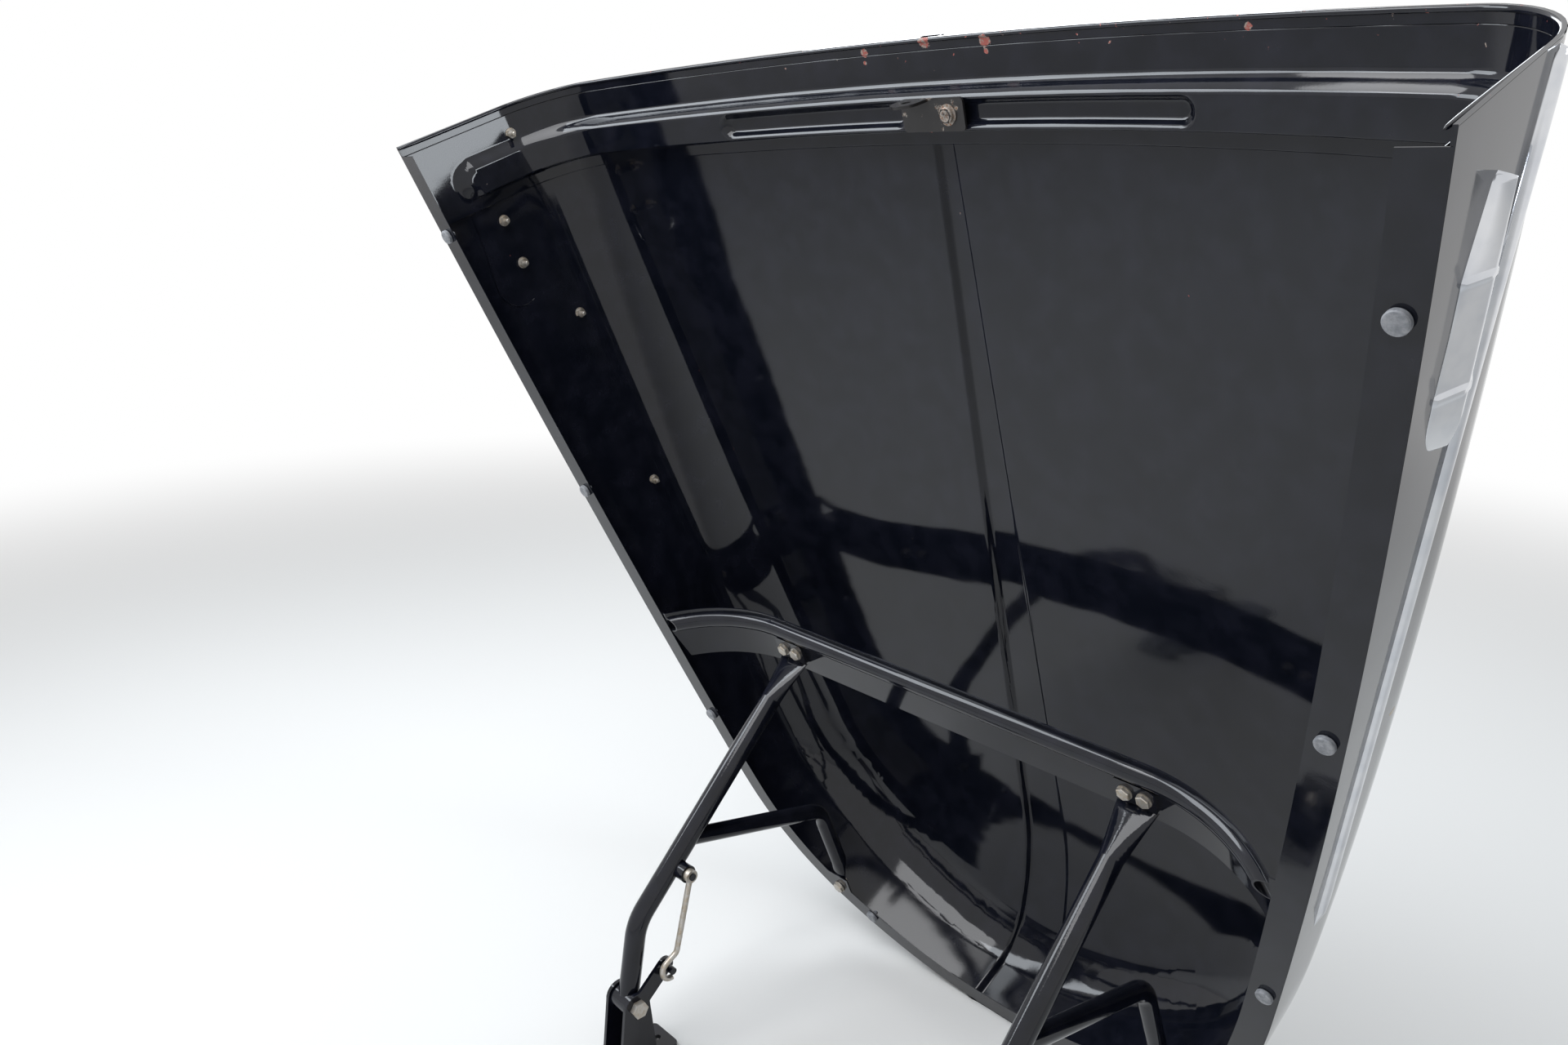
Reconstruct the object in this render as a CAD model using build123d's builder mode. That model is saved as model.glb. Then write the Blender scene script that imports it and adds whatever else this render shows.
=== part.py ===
# Front-hinged car bonnet, lifted on its two tubular hinge arms.
# Millimetres. +Z is up, the car's front faces -Y and its left side is +X.
# The origin is the middle of the four bolts that hold the two hinge brackets.
# Bonnet pieces are drawn level, with the hinge axis as their origin, and are then lifted.
import os
from math import atan2, cos, degrees, hypot, radians, sin, sqrt

from build123d import *

# Bonnet panel
sheet = 1.2
nose_reach = 205.0
rear_reach = 1086.0
crown_height = 560.0
crown_radius = 2600.0
shoulder_radius = 105.0
fall_radius = 410.0
fall_start = 36.0
nose_lean = 0.22
tip_arc = (554.0, 30.0)
nose_arc = (315.0, 42.0)
corner_arc = (1500.0, 4.0)
flank_radius = 9300.0
rear_lean = 0.064

# Lower edge of the panel, one sloping plane
rear_depth = 310.0
edge_slope = 0.111
flange_width = 32.0
flange_join = 40.0

# Raised spine along the middle, tapered
spine_rear_width = 28.0
spine_nose_width = 84.0
spine_rise = 7.0

# Rear frame and hem
hem_width = 12.0
hem_depth = 3.0
frame_step = 51.0
frame_end = 93.0
frame_toe = 109.0
frame_depth = 18.0
frame_side_depth = 11.0
frame_drop = 248.0
slot_reach = 318.0
slot_gap = 32.0
slot_width = 26.0
slot_depth = 8.0
slot_line = 73.5
seat = 0.3

# Latch striker
striker_width = 84.0
striker_length = 34.0
striker_sheet = 3.0
striker_drop = 34.0
striker_hole = 5.0
striker_offset = -10.0

# Cross brace
brace_y = 324.0
brace_width = 82.0
brace_lift = 69.0
brace_flat = 290.0
brace_bend = 250.0
brace_turn = 40.0
brace_tab = 16.0
brace_sheet = 1.6
bead_radius = 12.0
bead_offset = 21.5

# Hinge arms
arm_x = 275.0
tube_radius = 14.0
tube_wall = 2.5
arm_bend = (101.0, 49.0)
arm_bend_radius = 70.0
branch_root_y = 165.0
branch_elbow_y = 44.0
branch_lift = 14.5
branch_radius = 12.0
branch_elbow_radius = 40.0
branch_round_y = -62.0
branch_flat_y = -92.0
branch_tab_width = 30.0
branch_tab_thickness = 5.0
branch_tab_length = 32.0
nose_bolt_y = -110.0
arm_pad_width = 46.0
arm_pad_length = 50.0
spade_width = 52.0
spade_tab = 33.0
spade_taper = 66.0
spade_thickness = 6.0
bolt_y = 315.0
bolt_spacing = 24.0
bolt_radius = 4.0
bolt_head_radius = 9.5
bolt_head_height = 6.0
bolt_clearance = 0.2

# Pivot, brackets and check rod
open_angle = 73.7
pivot_height = 90.0
pin_radius = 7.0
pin_clearance = 0.05
pin_head_radius = 12.0
pin_head_height = 8.0
eye_radius = 17.0
eye_half_width = 16.0
side_gap = 1.0
cheek = 5.0
cheek_radius = 20.0
foot_length = 124.0
foot_width = 56.0
foot_thickness = 6.0
foot_bolt_y = 46.0
foot_bolt_radius = 4.5
cheek_length = 60.0
rod_radius = 4.0
rod_eye_radius = 9.0
stud_radius = 5.0
stud_boss_radius = 12.0
stud_y = -85.0
stud_z = 168.0
rod_x = 243.0
hook_y = -48.0
hook_z = 42.0
hook_radius = 13.0
hook_lead = 20.0
kink_radius = 10.0
peg_radius = 5.0
peg_arm_width = 24.0

# Chrome trim and rubber buffers
trim_inner_x = 400.0
moulding_rear_drop = 150.0
moulding_middle_drop = 190.0
moulding_tip_drop = 170.0
moulding_rear_gap = 14.0
moulding_length = 770.0
moulding_width = 16.0
moulding_rise = 6.0
moulding_point = 46.0
spear_rear_gap = 68.0
spear_length = 190.0
spear_drop = 222.0
spear_width = 62.0
spear_rise = 14.0
spear_ridge_inset = 12.0
buffer_radius = 9.0
buffer_height = 6.0
buffer_inset = 12.0
buffer_ys = (948.0, 568.0, 178.0)
nose_buffer = (215.0, -140.0)

os.makedirs("parts", exist_ok=True)
past_rear = rear_reach + 60.0
past_nose = -nose_reach - 200.0
prism_foot = 180.0
block_width = 1600.0
block_height = 1000.0
side_view = Plane(origin=(0, rear_reach, crown_height), x_dir=(0, 1, -rear_lean), z_dir=(1, 0, 0))


# Plan outline, walked from the nose tip to the rear as tangent arcs
nose_y = -nose_reach
walk_x, walk_y, turn = 0.0, nose_y, 0.0
walk = []
for radius, swept in (tip_arc, nose_arc, corner_arc):
    walk.append((walk_x, walk_y, turn, radius, swept))
    walk_x += radius * (sin(radians(turn + swept)) - sin(radians(turn)))
    walk_y += radius * (cos(radians(turn)) - cos(radians(turn + swept)))
    turn += swept
flank_x = walk_x - flank_radius * sin(radians(turn))
flank_y = walk_y + flank_radius * cos(radians(turn))


def half_width(y, inset=0.0):
    """Half the panel's width on its flank, at a place along the bonnet."""
    return flank_x + sqrt((flank_radius - inset) ** 2 - (flank_y - y) ** 2)


def edge_height(y):
    """Height of the lower edge plane, at a place along the bonnet."""
    return crown_height - rear_depth + (rear_reach - y) * edge_slope


def edge_plane(y=0.0, lift=0.0):
    """The lower edge plane, with its origin on the centre line at a place along the bonnet."""
    slope = Vector(0, edge_slope, 1).normalized()
    origin = Vector(0, y, edge_height(y)) + slope * lift
    return Plane(origin=origin, x_dir=(1, 0, 0), z_dir=slope)


def outline(inset):
    """Closed plan outline of the panel, drawn in by an inset and run out past its rear."""
    with BuildSketch(Plane.XY) as plan:
        with BuildLine():
            last = None
            for px, py, angle, radius, swept in walk:
                ahead = (cos(radians(angle)), sin(radians(angle)))
                start = (px - inset * ahead[1], py + inset * ahead[0])
                last = JernArc(start=start, tangent=ahead, radius=radius - inset, arc_size=swept)
            middle = ((last @ 1).Y + past_rear) / 2
            rear_corner = (half_width(past_rear, inset), past_rear)
            ThreePointArc(last @ 1, (half_width(middle, inset), middle), rear_corner)
            Line(rear_corner, (0, past_rear))
            mirror(about=Plane.YZ)
        make_face()
    return plan.sketch


def hull(inset, top_inset=None):
    """Solid body with the panel's crown, shoulder, flanks and nose, drawn in by an inset."""
    top = inset if top_inset is None else top_inset
    barrel_axis = crown_height - fall_radius
    lean_back = nose_lean * (prism_foot - edge_height(nose_y))
    with BuildPart() as body:
        for at_y, floor in ((past_rear, prism_foot), (fall_start, barrel_axis)):
            with BuildSketch(Plane.XZ.offset(-at_y)):
                with Locations((0, crown_height - crown_radius)):
                    Circle(crown_radius - top)
                with Locations((0, floor)):
                    Rectangle(block_width, block_height, align=(Align.CENTER, Align.MIN), mode=Mode.INTERSECT)
            if at_y == past_rear:
                extrude(amount=past_rear - fall_start)
            else:
                revolve(axis=Axis((0, fall_start, barrel_axis), (1, 0, 0)), revolution_arc=90)
        with BuildSketch(Plane.XY.offset(prism_foot)):
            add(outline(inset).moved(Location((0, lean_back, 0))))
        extrude(amount=500.0, dir=(0, nose_lean, 1), mode=Mode.INTERSECT)
        boxes = [(edge, edge.bounding_box()) for edge in body.edges()]
        rim = [
            edge
            for edge, box in boxes
            if box.min.Z > prism_foot + 150.0 and box.min.Y < past_rear - 1.0 and box.size.Y > 1.0
        ]
        fillet(rim, radius=shoulder_radius - inset)
    return body.part


def spine_wedge(inset):
    """Upright wedge over the spine, drawn in by an inset."""
    with BuildPart() as wedge:
        with BuildSketch(Plane.XY):
            with BuildLine():
                Polyline(
                    (-spine_nose_width / 2 + inset, nose_y),
                    (spine_nose_width / 2 - inset, nose_y),
                    (spine_rear_width / 2 - inset, rear_reach),
                    (spine_rear_width / 2 - inset, past_rear),
                    (-spine_rear_width / 2 + inset, past_rear),
                    (-spine_rear_width / 2 + inset, rear_reach),
                    close=True,
                )
            make_face()
            with Locations((0, nose_y)):
                Rectangle(spine_nose_width - 2 * inset, 60.0, align=(Align.CENTER, Align.MAX))
        extrude(amount=900.0)
    return wedge.part


def slab(front, back):
    """Everything between two places along the crown, both faces leaning with the rear rim."""
    with BuildPart() as block:
        with BuildSketch(side_view):
            with Locations(((front + back) / 2 - rear_reach, 0)):
                Rectangle(back - front, block_width)
        extrude(amount=block_width / 2, both=True)
    return block.part


def crowned(inset):
    """The panel's solid body with its raised spine, drawn in by an inset."""
    with BuildPart() as body:
        add(hull(inset - spine_rise))
        add(spine_wedge(inset), mode=Mode.INTERSECT)
        add(hull(inset))
    return body.part


pieces = {}
outer = hull(0.0)
inner = hull(sheet)

# Bonnet skin: one pressed sheet with its spine raised and its rear edge hemmed
with BuildPart() as hem:
    add(inner)
    add(hull(hem_depth), mode=Mode.SUBTRACT)
    add(slab(rear_reach - hem_width, rear_reach), mode=Mode.INTERSECT)
with BuildPart() as bonnet_skin:
    add(crowned(0.0))
    add(crowned(sheet), mode=Mode.SUBTRACT)
    add(hem.part)
    add(slab(past_nose, rear_reach), mode=Mode.INTERSECT)
    split(bisect_by=edge_plane(), keep=Keep.TOP)
pieces["bonnet_skin"] = bonnet_skin.part

# Edge flanges: the sheet's lower edge, folded in along both flanks and round the nose
with BuildPart() as flange_ring:
    add(inner)
    add(hull(flange_width), mode=Mode.SUBTRACT)
    add(slab(past_nose, rear_reach - hem_width - seat), mode=Mode.INTERSECT)
    split(bisect_by=edge_plane(), keep=Keep.TOP)
    split(bisect_by=edge_plane(lift=sheet), keep=Keep.BOTTOM)
for name, side in (("left", 1), ("right", -1)):
    with BuildPart() as flange:
        add(flange_ring.part)
        add(slab(flange_join, past_rear), mode=Mode.INTERSECT)
        split(bisect_by=Plane.YZ, keep=Keep.TOP if side > 0 else Keep.BOTTOM)
    pieces[f"edge_flange_{name}"] = flange.part
with BuildPart() as arm_pads:
    with BuildSketch(edge_plane(nose_bolt_y)):
        with Locations((arm_x, 0), (-arm_x, 0)):
            Rectangle(arm_pad_width, arm_pad_length)
    extrude(amount=sheet)
    add(inner, mode=Mode.INTERSECT)
with BuildPart() as nose_flange:
    add(flange_ring.part)
    add(slab(past_nose, flange_join), mode=Mode.INTERSECT)
    add(arm_pads.part)
    with BuildSketch(edge_plane(nose_bolt_y)):
        with Locations((arm_x, 0), (-arm_x, 0)):
            Circle(bolt_radius + bolt_clearance)
    extrude(amount=2 * sheet, both=True, mode=Mode.SUBTRACT)
pieces["nose_flange"] = nose_flange.part

# Rear frame: a pressed section across the rear, its land standing in from the panel,
# with a long rounded recess each side of the latch
frame_middle = (frame_step + frame_end) / 2
slot_length = slot_reach - slot_gap
slot_centres = [(side * (slot_reach + slot_gap) / 2, rear_reach - slot_line) for side in (-1, 1)]


def frame_core(skin):
    """Space on the hollow side of the rear frame, drawn in by a thickness."""
    with BuildPart() as channel:
        with BuildSketch(side_view):
            with Locations((-frame_middle, 0)):
                SlotOverall(
                    2 * (frame_drop + skin),
                    frame_end - frame_step + 2 * skin,
                    rotation=90,
                )
        extrude(amount=block_width / 2, both=True)
        add(hull(frame_side_depth + skin, frame_depth + skin), mode=Mode.SUBTRACT)
    with BuildPart() as core:
        add(hull(sheet + seat + skin))
        add(slab(rear_reach - frame_toe - 2 * skin, rear_reach - hem_width - seat + 2 * skin), mode=Mode.INTERSECT)
        add(channel.part, mode=Mode.SUBTRACT)
    with BuildPart() as slots:
        with BuildSketch(Plane.XY):
            with Locations(*slot_centres):
                SlotOverall(slot_length - 2 * skin, slot_width - 2 * skin)
        extrude(amount=block_height)
        floor_depth = frame_depth - slot_depth + skin
        add(hull(floor_depth, floor_depth), mode=Mode.INTERSECT)
    with BuildPart() as whole:
        add(core.part)
        add(slots.part)
    return whole.part


with BuildPart() as rear_frame:
    add(frame_core(0.0))
    add(frame_core(sheet), mode=Mode.SUBTRACT)
    split(bisect_by=edge_plane(lift=sheet + seat), keep=Keep.TOP)
pieces["rear_frame"] = rear_frame.part

# Latch striker: a bent plate under the frame, with an ear and its hole
striker_sag = (striker_width / 2 - striker_offset) ** 2 / (2 * (crown_radius - frame_depth))
striker_top = crown_height - frame_depth - sheet - striker_sag - seat
striker_y = rear_reach - slot_line
with BuildPart() as latch_striker:
    with BuildSketch(Plane.XY.offset(striker_top - striker_sheet)):
        with Locations((striker_offset, striker_y)):
            RectangleRounded(striker_width, striker_length, 5.0)
    extrude(amount=striker_sheet)
    with BuildSketch(Plane.XZ.offset(-striker_y - striker_length / 2)):
        with Locations((striker_offset + striker_width / 4, striker_top)):
            with Locations((0, -striker_drop + striker_length / 2)):
                Circle(striker_length / 2)
            Rectangle(striker_length, striker_drop - striker_length / 2, align=(Align.CENTER, Align.MAX))
            with Locations((0, -striker_drop + striker_length / 2)):
                Circle(striker_hole, mode=Mode.SUBTRACT)
    extrude(amount=striker_sheet)
    bolt_foot = (striker_offset - striker_width / 4, striker_y, striker_top - striker_sheet)
    with BuildSketch(Plane(origin=bolt_foot, z_dir=(0, 0, -1))):
        RegularPolygon(8.0, 6)
    extrude(amount=bolt_head_height)
pieces["latch_striker"] = latch_striker.part

# Cross brace: an arched strip with a pressed bead, its ends resting on the edge flanges
brace_frame = edge_plane(brace_y, lift=sheet + seat)
brace_across = Plane(origin=brace_frame.origin, x_dir=(1, 0, 0), z_dir=-brace_frame.y_dir)
arch_turn = radians(brace_turn)
arch_end_x = brace_flat + brace_bend * sin(arch_turn)
arch_end_z = brace_lift - brace_bend * (1 - cos(arch_turn))
foot_x = arch_end_x + arch_end_z / sin(arch_turn) * cos(arch_turn)


def arch_region(low, high):
    """Face between two heights off the arch's line, from one foot to the other."""
    with BuildSketch(brace_across) as region:
        with BuildLine():
            rows = []
            for lift in (low, high):
                bend = brace_bend + lift
                end = (brace_flat + bend * sin(arch_turn), brace_lift + lift - bend * (1 - cos(arch_turn)))
                foot = (foot_x + lift * sin(arch_turn), lift * cos(arch_turn))
                rows.append((foot, end))
                Line((0, brace_lift + lift), (brace_flat, brace_lift + lift))
                ThreePointArc(
                    (brace_flat, brace_lift + lift),
                    (
                        brace_flat + bend * sin(arch_turn / 2),
                        brace_lift + lift - bend * (1 - cos(arch_turn / 2)),
                    ),
                    end,
                )
                Line(end, foot)
            Line(rows[0][0], rows[1][0])
            mirror(about=Plane.YZ)
        make_face()
    return region.sketch


bead_path_plane = brace_across.offset(-bead_offset)
with BuildPart() as above_arch:
    extrude(arch_region(0.0, 4 * bead_radius), amount=brace_width / 2, both=True)
beads = []
for radius in (bead_radius, bead_radius - brace_sheet):
    with BuildPart() as bead:
        with BuildLine(bead_path_plane) as bead_path:
            Line((0, brace_lift), (brace_flat, brace_lift))
            ThreePointArc(
                (brace_flat, brace_lift),
                (
                    brace_flat + brace_bend * sin(arch_turn / 2),
                    brace_lift - brace_bend * (1 - cos(arch_turn / 2)),
                ),
                (arch_end_x, arch_end_z),
            )
            Line((arch_end_x, arch_end_z), (foot_x, 0))
            mirror(about=Plane.YZ)
        bead_wire = bead_path.wires()[0]
        with BuildSketch(Plane(origin=bead_wire @ 0, z_dir=bead_wire % 0)):
            Circle(radius)
        sweep(path=bead_wire)
        split(bisect_by=brace_frame, keep=Keep.TOP)
    beads.append(bead.part)
bead_outer, bead_inner = beads
with BuildPart() as bead_below:
    add(bead_outer)
    add(above_arch.part, mode=Mode.SUBTRACT)
brace_bolts = [(side * arm_x + step * bolt_spacing / 2) for side in (1, -1) for step in (-1, 1)]
with BuildPart() as cross_brace:
    extrude(arch_region(0.0, brace_sheet), amount=brace_width / 2, both=True)
    for side in (1, -1):
        with BuildSketch(brace_across):
            with Locations((side * foot_x, 0)):
                Rectangle(brace_tab, brace_sheet, align=(Align.MIN if side > 0 else Align.MAX, Align.MIN))
        extrude(amount=brace_width / 2, both=True)
    add(bead_below.part)
    add(bead_inner, mode=Mode.SUBTRACT)
    with BuildSketch(brace_frame):
        with Locations(*[(x, bolt_y - brace_y) for x in brace_bolts]):
            Circle(bolt_radius + bolt_clearance)
    extrude(amount=2 * brace_lift, mode=Mode.SUBTRACT)
pieces["cross_brace"] = cross_brace.part

# Hinge arms: bent tubes with a branch to the nose, flattened where they are bolted on
tilt = radians(open_angle)
tab_frame = edge_plane(bolt_y, lift=sheet + seat + brace_lift - seat)
tab_edge = tab_frame.from_local_coords(Vector(0, -spade_tab / 2, -spade_thickness / 2))
arm_run = Vector(0, arm_bend[0] - tab_edge.Y, arm_bend[1] - tab_edge.Z)
arm_way = arm_run.normalized()
taper_end = tab_edge + arm_way * spade_taper
root_share = (tab_edge.Y - branch_root_y) / (tab_edge.Y - arm_bend[0])
branch_root = tab_edge + arm_run * root_share
elbow = edge_plane(branch_elbow_y, lift=branch_lift).origin
branch_stop = edge_plane(branch_round_y, lift=branch_lift).origin
branch_flat_end = edge_plane(branch_flat_y, lift=sheet + seat + branch_tab_thickness / 2).origin
stud_local_y = stud_y * cos(tilt) + stud_z * sin(tilt)
stud_local_z = -stud_y * sin(tilt) + stud_z * cos(tilt)


def tube(points, bend, radius):
    """Round bar along straight runs joined by an arc."""
    with BuildPart() as bar:
        with BuildLine() as path:
            FilletPolyline(*points, radius=bend)
        with BuildSketch(Plane(origin=path.line @ 0, z_dir=path.line % 0)):
            Circle(radius)
        sweep(path=path.line)
    return bar.part


for name, side in (("left", 1), ("right", -1)):
    here = Vector(side * arm_x, 0, 0)
    main_points = [here + taper_end, here + Vector(0, *arm_bend), here]
    branch_points = [here + branch_root, here + elbow, here + branch_stop]
    with BuildPart() as hinge_arm:
        add(tube(main_points, arm_bend_radius, tube_radius))
        add(tube(branch_points, branch_elbow_radius, branch_radius))
        add(tube(main_points, arm_bend_radius, tube_radius - tube_wall), mode=Mode.SUBTRACT)
        add(tube(branch_points, branch_elbow_radius, branch_radius - tube_wall), mode=Mode.SUBTRACT)
        # Flattened top end and its bolted tab
        with BuildSketch(Plane(origin=here + tab_edge, x_dir=(1, 0, 0), z_dir=arm_way)):
            Ellipse(spade_width / 2, spade_thickness / 2)
        with BuildSketch(Plane(origin=here + taper_end, x_dir=(1, 0, 0), z_dir=arm_way)):
            Circle(tube_radius)
        loft()
        with BuildSketch(Plane(origin=here + tab_frame.origin, x_dir=(1, 0, 0), z_dir=-tab_frame.z_dir)):
            RectangleRounded(spade_width, spade_tab, 5.0)
            with Locations((-bolt_spacing / 2, 0), (bolt_spacing / 2, 0)):
                Circle(bolt_radius + bolt_clearance, mode=Mode.SUBTRACT)
        extrude(amount=spade_thickness)
        # Flattened branch end and its bolted tab
        branch_way = (branch_flat_end - branch_stop).normalized()
        with BuildSketch(Plane(origin=here + branch_stop, x_dir=(1, 0, 0), z_dir=branch_way)):
            Circle(branch_radius)
        with BuildSketch(Plane(origin=here + branch_flat_end, x_dir=(1, 0, 0), z_dir=branch_way)):
            Ellipse(branch_tab_width / 2, branch_tab_thickness / 2)
        loft()
        branch_tab = edge_plane(branch_flat_y, lift=sheet + seat)
        with BuildSketch(Plane(origin=here + branch_tab.origin, x_dir=(1, 0, 0), z_dir=branch_tab.z_dir)):
            with Locations((0, -branch_tab_length / 2)):
                RectangleRounded(branch_tab_width, branch_tab_length, 5.0)
            with Locations((0, nose_bolt_y - branch_flat_y)):
                Circle(bolt_radius + bolt_clearance, mode=Mode.SUBTRACT)
        extrude(amount=branch_tab_thickness)
        # Pivot eye
        with BuildSketch(Plane.YZ.offset(side * arm_x)):
            Circle(eye_radius)
        extrude(amount=eye_half_width, both=True)
        if side > 0:
            # Boss and stud for the check rod
            with BuildSketch(Plane.YZ.offset(rod_x + rod_radius + seat)):
                with Locations((stud_local_y, stud_local_z)):
                    Circle(stud_boss_radius)
            extrude(amount=arm_x - rod_x - rod_radius - tube_radius / 2)
            with BuildSketch(Plane.YZ.offset(rod_x - rod_radius - 2.0)):
                with Locations((stud_local_y, stud_local_z)):
                    Circle(stud_radius)
            extrude(amount=arm_x - rod_x - tube_radius / 2)
        with BuildSketch(Plane.YZ.offset(side * arm_x)):
            Circle(pin_radius + pin_clearance)
        extrude(amount=eye_half_width * 2, both=True, mode=Mode.SUBTRACT)
    pieces[f"hinge_arm_{name}"] = hinge_arm.part

# Arm bolts: two through each spade and the brace, one through each branch tab and the nose flange
for name, side in (("left", 1), ("right", -1)):
    with BuildPart() as arm_bolts:
        for x, y, stack, grip_top, grip in (
            (side * arm_x - bolt_spacing / 2, bolt_y, -1, brace_lift + seat, spade_thickness + brace_sheet),
            (side * arm_x + bolt_spacing / 2, bolt_y, -1, brace_lift + seat, spade_thickness + brace_sheet),
            (side * arm_x, nose_bolt_y, 1, 0.0, branch_tab_thickness + sheet + seat),
        ):
            under = sheet + grip_top - spade_thickness if stack < 0 else -seat
            head = edge_plane(y, lift=under - seat)
            at = Vector(x, 0, 0)
            with BuildSketch(Plane(origin=head.origin + at, x_dir=(1, 0, 0), z_dir=-head.z_dir)):
                Circle(bolt_head_radius)
            extrude(amount=bolt_head_height)
            with BuildSketch(Plane(origin=head.origin + at, x_dir=(1, 0, 0), z_dir=head.z_dir)):
                Circle(bolt_radius)
            extrude(amount=grip + 3 * seat + bolt_head_height)
            nut = edge_plane(y, lift=under + grip + seat)
            with BuildSketch(Plane(origin=nut.origin + at, x_dir=(1, 0, 0), z_dir=head.z_dir)):
                RegularPolygon(bolt_head_radius * 0.75, 6)
            extrude(amount=bolt_head_height * 0.8)
    pieces[f"arm_bolts_{name}"] = arm_bolts.part

# Chrome mouldings: a tapered strip along each flank, following the panel
skin_seat = hull(-seat)
trim_plane = Plane.YZ.offset(trim_inner_x)
moulding_ends = (
    (rear_reach - moulding_rear_gap, crown_height - moulding_rear_drop),
    (rear_reach - moulding_rear_gap - moulding_length / 2, crown_height - moulding_middle_drop),
    (rear_reach - moulding_rear_gap - moulding_length, crown_height - moulding_tip_drop),
)
with BuildPart() as strip:
    with BuildSketch(trim_plane):
        with BuildLine():
            edges = []
            for lift in (-moulding_width / 2, moulding_width / 2):
                points = [(y, z + lift) for y, z in moulding_ends]
                edges.append(ThreePointArc(*points))
            Line(edges[0] @ 0, edges[1] @ 0)
            point = (moulding_ends[2][0] - moulding_point, moulding_ends[2][1])
            Polyline(edges[0] @ 1, point, edges[1] @ 1)
        make_face()
    extrude(amount=trim_inner_x)
    add(hull(-moulding_rise), mode=Mode.INTERSECT)
    add(skin_seat, mode=Mode.SUBTRACT)

# Spear ornaments: a broad leaf with a raised ridge along it, one on each flank
spear_z = crown_height - spear_drop
spear_layers = []
for rise, width, inset in (
    (spear_rise * 0.45, spear_width, 0.0),
    (spear_rise, spear_width * 0.35, spear_ridge_inset),
):
    half = width / 2
    rear = rear_reach - spear_rear_gap - inset
    front = rear_reach - spear_rear_gap - spear_length + inset
    shoulder_y = rear - 2 * half
    front_y = front + half
    with BuildPart() as layer:
        with BuildSketch(trim_plane):
            with BuildLine():
                Polyline((front_y, spear_z + half), (shoulder_y, spear_z + half), (rear, spear_z))
                Polyline((rear, spear_z), (shoulder_y, spear_z - half), (front_y, spear_z - half))
                ThreePointArc((front_y, spear_z - half), (front, spear_z), (front_y, spear_z + half))
            make_face()
        extrude(amount=trim_inner_x)
        add(hull(-rise), mode=Mode.INTERSECT)
    spear_layers.append(layer.part)
with BuildPart() as leaf:
    add(spear_layers[0])
    add(spear_layers[1])
    add(skin_seat, mode=Mode.SUBTRACT)
for kind, trim in (("moulding", strip.part), ("ornament", leaf.part)):
    pieces[f"{kind}_left"] = trim
    with BuildPart() as other_side:
        mirror(trim, about=Plane.YZ)
    pieces[f"{kind}_right"] = other_side.part

# Rubber buffers under the edge flange
for name, side in (("left", 1), ("right", -1)):
    places = [(half_width(y) - buffer_inset, y) for y in buffer_ys] + [nose_buffer]
    with BuildPart() as buffers:
        for x, y in places:
            base = edge_plane(y, lift=-seat)
            with BuildSketch(
                Plane(origin=base.origin + Vector(side * x, 0, 0), x_dir=(1, 0, 0), z_dir=-base.z_dir)
            ):
                Circle(buffer_radius)
            extrude(amount=buffer_height)
    pieces[f"buffers_{name}"] = buffers.part

lifted = Location((0, 0, pivot_height), (open_angle, 0, 0))
placed = {name: piece.moved(lifted) for name, piece in pieces.items()}

# Hinge brackets, bolted to the car and fixed: a foot and two cheeks round each pivot eye
cheek_gap = eye_half_width + side_gap
peg_y = hook_y
peg_z = pivot_height + hook_z
peg_reach = hypot(hook_y, hook_z)
peg_turn = degrees(atan2(hook_z, hook_y))
for name, side in (("left", 1), ("right", -1)):
    with BuildPart() as hinge_bracket:
        with BuildSketch(Plane.XY):
            with Locations((side * arm_x, 0)):
                RectangleRounded(foot_width, foot_length, 8.0)
            with Locations((side * arm_x, foot_bolt_y), (side * arm_x, -foot_bolt_y)):
                Circle(foot_bolt_radius, mode=Mode.SUBTRACT)
        extrude(amount=foot_thickness)
        for cheek_side in (-1, 1):
            start = side * arm_x + cheek_side * cheek_gap - (cheek if cheek_side < 0 else 0)
            with BuildSketch(Plane.YZ.offset(start)):
                with Locations((0, pivot_height)):
                    Circle(cheek_radius)
                Polygon(
                    (-cheek_length / 2, 0),
                    (cheek_length / 2, 0),
                    (cheek_radius, pivot_height),
                    (-cheek_radius, pivot_height),
                    align=None,
                )
                if side > 0 and cheek_side < 0:
                    with Locations((peg_y / 2, (pivot_height + peg_z) / 2)):
                        SlotCenterToCenter(peg_reach, peg_arm_width, rotation=peg_turn)
            extrude(amount=cheek)
        if side > 0:
            with BuildSketch(Plane.YZ.offset(rod_x - rod_radius - seat * 10)):
                with Locations((peg_y, peg_z)):
                    Circle(peg_radius)
            extrude(amount=arm_x - cheek_gap - rod_x + rod_radius + seat * 10)
        with BuildSketch(Plane.YZ.offset(side * arm_x)):
            with Locations((0, pivot_height)):
                Circle(pin_radius + pin_clearance)
        extrude(amount=cheek_gap + cheek, both=True, mode=Mode.SUBTRACT)
    placed[f"hinge_bracket_{name}"] = hinge_bracket.part

    # Pivot pin with its head outboard and a nut inboard
    reach = cheek_gap + cheek + seat
    with BuildPart() as pivot_pin:
        with BuildSketch(Plane.YZ.offset(side * arm_x)):
            with Locations((0, pivot_height)):
                Circle(pin_radius)
        extrude(amount=reach, both=True)
        for end in (1, -1):
            start = side * arm_x + side * end * reach - (pin_head_height if side * end < 0 else 0)
            with BuildSketch(Plane.YZ.offset(start)):
                with Locations((0, pivot_height)):
                    RegularPolygon(pin_head_radius, 6)
            extrude(amount=pin_head_height)
    placed[f"pivot_pin_{name}"] = pivot_pin.part

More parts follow.
